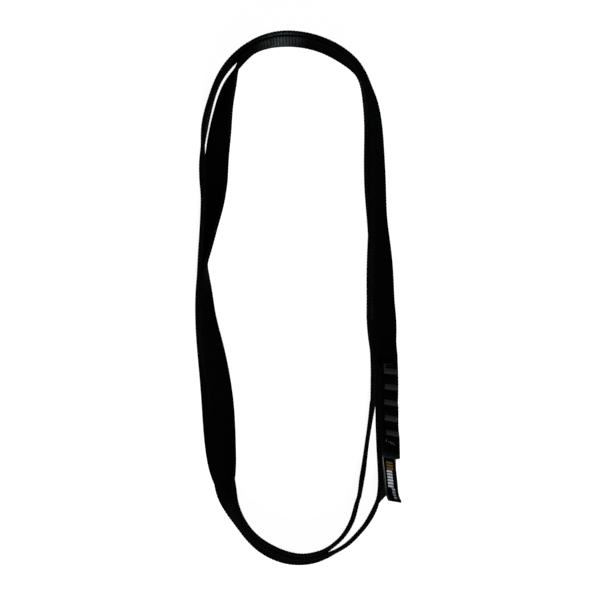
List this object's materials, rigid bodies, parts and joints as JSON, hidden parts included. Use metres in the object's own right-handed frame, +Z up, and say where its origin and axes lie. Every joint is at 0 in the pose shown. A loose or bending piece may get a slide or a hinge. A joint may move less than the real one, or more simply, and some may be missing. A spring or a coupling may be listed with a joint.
{
  "type": "climbing sling",
  "caption": "Flat woven strap sewn into a loop with a bar-tacked lap and a folded label, laid doubled in an oval, for joining anchors and connectors.",
  "frame": {"origin": "bottom centre of the bounding box, on the surface that the sling lies on", "axes": "+Z up; +Y along the length of the oval, away from the label; +X across it, towards the sewn lap"},
  "size_m": [0.133, 0.3503, 0.0164],
  "materials": {
    "webbing": "matt black woven polyamide",
    "tack_thread": "dark grey polyester thread with a low sheen",
    "seam_thread": "light grey polyester thread",
    "label": "satin black label ribbon"
  },
  "bodies": {
    "sling": {"webbing": "webbing", "bar_tack_1_needle_thread": "tack_thread", "bar_tack_1_bobbin_thread": "tack_thread", "bar_tack_2_needle_thread": "tack_thread", "bar_tack_2_bobbin_thread": "tack_thread", "bar_tack_3_needle_thread": "tack_thread", "bar_tack_3_bobbin_thread": "tack_thread", "bar_tack_4_needle_thread": "tack_thread", "bar_tack_4_bobbin_thread": "tack_thread", "bar_tack_5_needle_thread": "tack_thread", "bar_tack_5_bobbin_thread": "tack_thread", "label_seam_needle_thread": "seam_thread", "label_seam_bobbin_thread": "seam_thread", "label_root": "label"},
    "label": {"label_flap": "label"}
  },
  "joints": [
    {"name": "label_hinge", "type": "hinge", "parent": "sling", "child": "label", "pos_m": [0.05897, -0.10789, 0.00776], "axis": [-0.6936, 0.038, 0.7193], "range_deg": [0, 80], "stiffness_Nm_per_rad": 0.0005}
  ]
}
